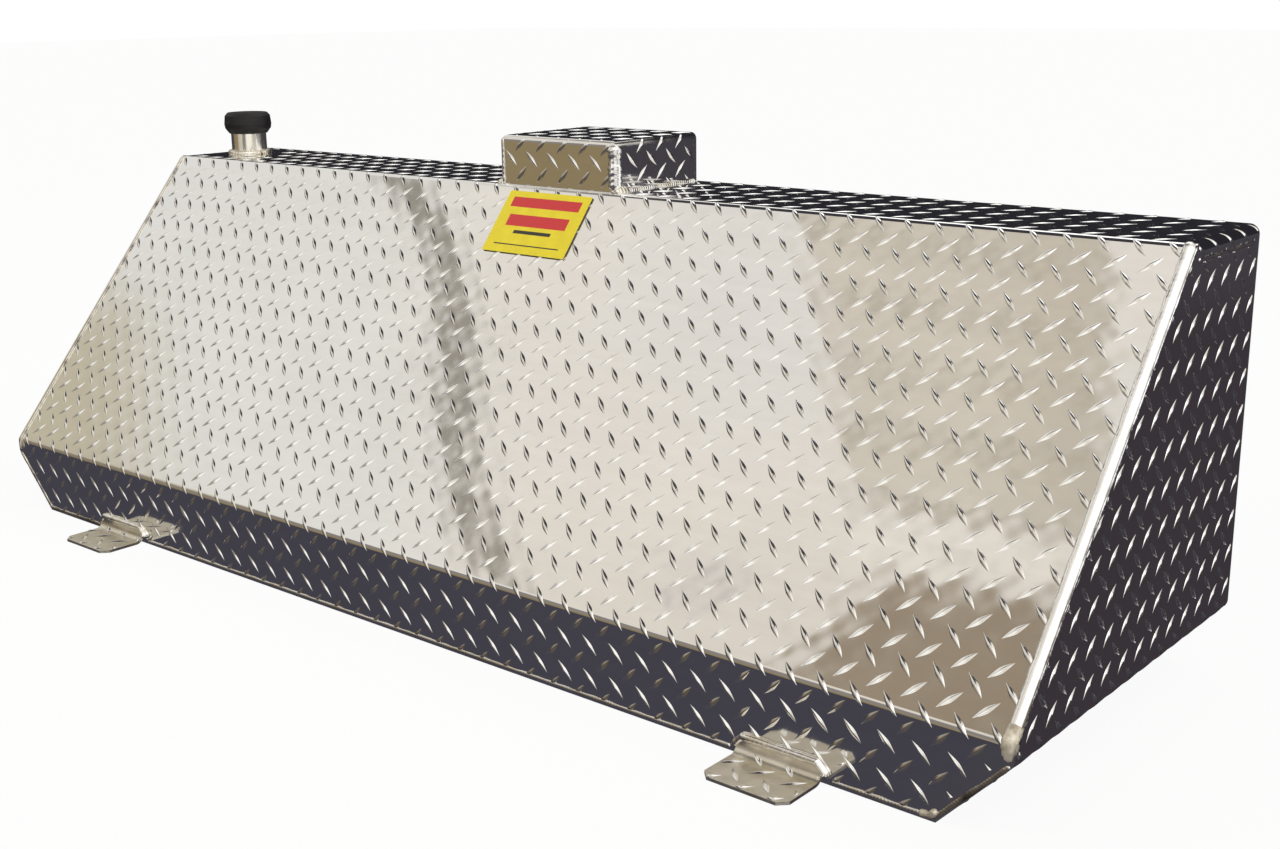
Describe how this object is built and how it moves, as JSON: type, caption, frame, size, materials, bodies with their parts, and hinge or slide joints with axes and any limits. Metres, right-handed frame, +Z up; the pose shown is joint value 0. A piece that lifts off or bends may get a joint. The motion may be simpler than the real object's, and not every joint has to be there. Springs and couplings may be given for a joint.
{
  "type": "auxiliary fuel tank",
  "caption": "Wedge-shaped tread-plate fuel tank for a pickup bed, with screw-capped filler neck, guarded fittings, folded feet, welded seams, baffles and level float.",
  "frame": {"origin": "centre of the flat underside of the tank body", "axes": "+X along the tank, away from the filler end; -Y towards the sloping front; +Z up"},
  "size_m": [1.5258, 0.5179, 0.517],
  "materials": {
    "tread_plate": "bright rolled tread plate with raised lugs, mirror-like between them",
    "plain_sheet": "plain mill finish",
    "neck_tube": "drawn tube, polished, with fine lengthwise streaks",
    "weld_metal": "rippled weld metal, bright with a tan bloom beside it",
    "cap_plastic": "black moulded plastic, satin",
    "seal_rubber": "black fuel-proof rubber",
    "steel": "zinc-plated steel",
    "bung_metal": "turned aluminium",
    "fitting_brass": "turned brass",
    "dip_tube_metal": "drawn tube",
    "float_foam": "black closed-cell float",
    "ball_plastic": "white moulded ball",
    "label_film": "yellow film with plain red and black bands, no lettering"
  },
  "bodies": {
    "tank": {"back_sheet": "tread_plate", "back_weld": "weld_metal", "baffle_left": "plain_sheet", "baffle_right": "plain_sheet", "dip_tube": "dip_tube_metal", "end_plate_left": "tread_plate", "end_plate_right": "tread_plate", "end_weld_left": "weld_metal", "end_weld_right": "weld_metal", "filler_neck": "neck_tube", "guard_box": "tread_plate", "guard_weld_left": "weld_metal", "guard_weld_right": "weld_metal", "kick_weld": "weld_metal", "label": "label_film", "lip_weld_left": "weld_metal", "lip_weld_right": "weld_metal", "mounting_tab_left": "tread_plate", "mounting_tab_right": "tread_plate", "neck_weld": "weld_metal", "pickup_bung": "bung_metal", "pickup_elbow": "fitting_brass", "sender_flange": "steel", "sender_gasket": "seal_rubber", "sender_post": "steel", "sender_screws": "steel", "tab_weld_left": "weld_metal", "tab_weld_right": "weld_metal", "vent_bung": "bung_metal", "vent_valve": "fitting_brass", "wrap_sheet": "tread_plate"},
    "cap_seal": {"cap_gasket": "seal_rubber", "cap_seal_plate": "steel"},
    "cap": {"filler_cap": "cap_plastic"},
    "float_arm": {"float_arm": "steel", "level_float": "float_foam"},
    "vent_ball": {"vent_ball": "ball_plastic"}
  },
  "joints": [
    {"name": "cap_rise", "type": "slide", "parent": "tank", "child": "cap_seal", "axis": [0, 0, 1], "range_m": [0, 0.018]},
    {"name": "cap_turn", "type": "hinge", "parent": "cap_seal", "child": "cap", "pos_m": [-0.704, 0.1535, 0.517], "axis": [0, 0, 1], "range_deg": [0, 1080]},
    {"name": "float_swing", "type": "hinge", "parent": "tank", "child": "float_arm", "pos_m": [-0.0545, 0.1465, 0.228], "axis": [0, 1, 0], "range_deg": [0, 110]},
    {"name": "vent_ball_lift", "type": "slide", "parent": "tank", "child": "vent_ball", "axis": [0, 0, 1], "range_m": [0, 0.004]}
  ],
  "couplings": [
    {"joint": "cap_rise", "follows": "cap_turn", "m_per_rad": 0.0009549}
  ]
}
